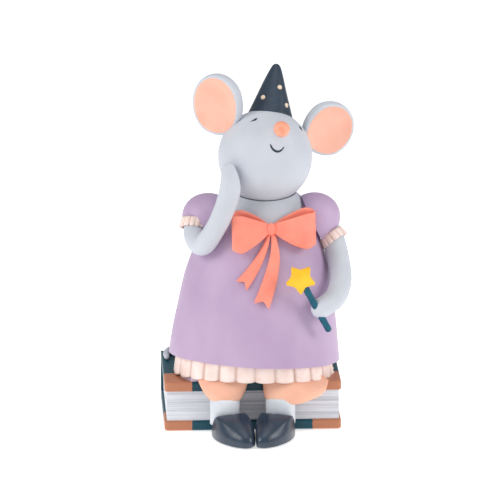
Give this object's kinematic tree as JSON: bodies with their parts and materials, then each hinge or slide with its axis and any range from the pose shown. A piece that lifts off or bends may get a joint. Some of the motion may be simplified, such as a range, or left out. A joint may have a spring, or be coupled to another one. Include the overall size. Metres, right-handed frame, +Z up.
{
  "type": "clockwork mouse figure",
  "caption": "Moulded mouse in a dress and pointed hat seated on a thick book; a hidden spring motor, wound by a key in the back, turns the head and swings the wand arm.",
  "frame": {"origin": "centre of the book's flat underside, between its front edge and the back of its spine", "axes": "+Z up through the figure; -Y is the way the figure faces; +X is the figure's left, the side of the wand"},
  "size_m": [0.097, 0.1145, 0.1759],
  "materials": {
    "book_cover": "painted teal, satin",
    "book_page": "painted off-white page edges",
    "dress_lilac": "painted lilac, matt",
    "frill_pink": "painted pale pink, matt",
    "fur_grey": "painted light grey, matt",
    "peach": "painted peach, matt",
    "bow_coral": "painted coral, matt",
    "navy": "painted slate navy, satin",
    "sock_white": "painted off-white, matt",
    "star_yellow": "painted yellow, satin",
    "wand_teal": "painted teal, satin",
    "stud_cream": "painted cream",
    "brass": "stamped and turned brass",
    "steel": "turned steel",
    "spring_steel": "blued spring steel",
    "acetal": "moulded acetal"
  },
  "bodies": {
    "root": {"book_lower_cover": "book_cover", "book_pages": "book_page", "book_screws": "steel", "book_upper_cover": "book_cover", "book_spine": "book_cover", "dress_front": "dress_lilac", "dress_back": "dress_lilac", "back_screws": "steel", "seat_plate": "acetal", "seat_screws": "steel", "hem_frill": "frill_pink", "tail": "fur_grey", "bust": "fur_grey", "neck_bush": "acetal", "shoulder_bush": "acetal", "sock_right": "sock_white", "sock_left": "sock_white", "bloomer_right": "peach", "bloomer_left": "peach", "shoe_right": "navy", "shoe_left": "navy", "right_arm": "fur_grey", "right_cuff": "frill_pink", "right_sleeve": "dress_lilac", "bow_knot": "bow_coral", "bow_loop_left": "bow_coral", "bow_loop_right": "bow_coral", "bow_tails": "bow_coral", "front_plate": "brass", "rear_plate": "brass", "plate_pillars": "steel", "mainspring": "spring_steel"},
    "great_wheel": {"great_wheel": "brass"},
    "click": {"click": "steel"},
    "winding": {"winding_arbor": "steel", "ratchet_wheel": "steel", "winding_key": "brass"},
    "second": {"second_arbor": "steel", "second_wheel": "brass"},
    "third": {"third_arbor": "steel", "third_wheel": "brass"},
    "fly": {"fly": "steel"},
    "head": {"neck_spindle": "steel", "head_face": "fur_grey", "head_back": "fur_grey", "ear_left": "fur_grey", "ear_right": "fur_grey", "ear_lining_left": "peach", "ear_lining_right": "peach", "nose": "peach", "hat": "navy", "hat_studs": "stud_cream"},
    "wand_arm": {"shoulder_shaft": "steel", "left_sleeve": "dress_lilac", "left_cuff": "frill_pink", "left_arm": "fur_grey", "wand_rod": "wand_teal", "wand_star": "star_yellow"},
    "stop_button": {"stop_button": "navy"}
  },
  "joints": [
    {"name": "wheel_run", "type": "hinge", "parent": "root", "child": "great_wheel", "pos_m": [-0.0015, 0, 0.05601], "axis": [0, 1, 0], "continuous": true},
    {"name": "key_wind", "type": "hinge", "parent": "great_wheel", "child": "winding", "pos_m": [-0.0015, 0, 0.05601], "axis": [0, 1, 0], "continuous": true},
    {"name": "click_lift", "type": "hinge", "parent": "great_wheel", "child": "click", "pos_m": [0.0075, 0, 0.05601], "axis": [0, 1, 0], "range_deg": [0, 12], "stiffness_Nm_per_rad": 0.0002},
    {"name": "second_turn", "type": "hinge", "parent": "root", "child": "second", "pos_m": [0.0075, 0, 0.0716], "axis": [0, 1, 0], "continuous": true},
    {"name": "third_turn", "type": "hinge", "parent": "root", "child": "third", "pos_m": [0.02286, 0, 0.06889], "axis": [0, 1, 0], "continuous": true},
    {"name": "fly_spin", "type": "hinge", "parent": "root", "child": "fly", "pos_m": [0.02505, 0, 0.05648], "axis": [0, 1, 0], "continuous": true},
    {"name": "head_turn", "type": "hinge", "parent": "root", "child": "head", "pos_m": [0.0075, -0.001, 0.1326], "axis": [0, 0, 1], "range_deg": [-18, 0]},
    {"name": "arm_swing", "type": "hinge", "parent": "root", "child": "wand_arm", "pos_m": [0.0311, -0.001, 0.1005], "axis": [-0.9063, 0, -0.4226], "range_deg": [0, 28.8]},
    {"name": "stop_push", "type": "slide", "parent": "root", "child": "stop_button", "axis": [0, 1, 0], "range_m": [-0.0032, 0]}
  ],
  "couplings": [
    {"joint": "second_turn", "follows": "wheel_run", "ratio": -4},
    {"joint": "third_turn", "follows": "wheel_run", "ratio": 13.333},
    {"joint": "fly_spin", "follows": "wheel_run", "ratio": -33.333},
    {"joint": "arm_swing", "follows": "head_turn", "ratio": -1.6}
  ]
}
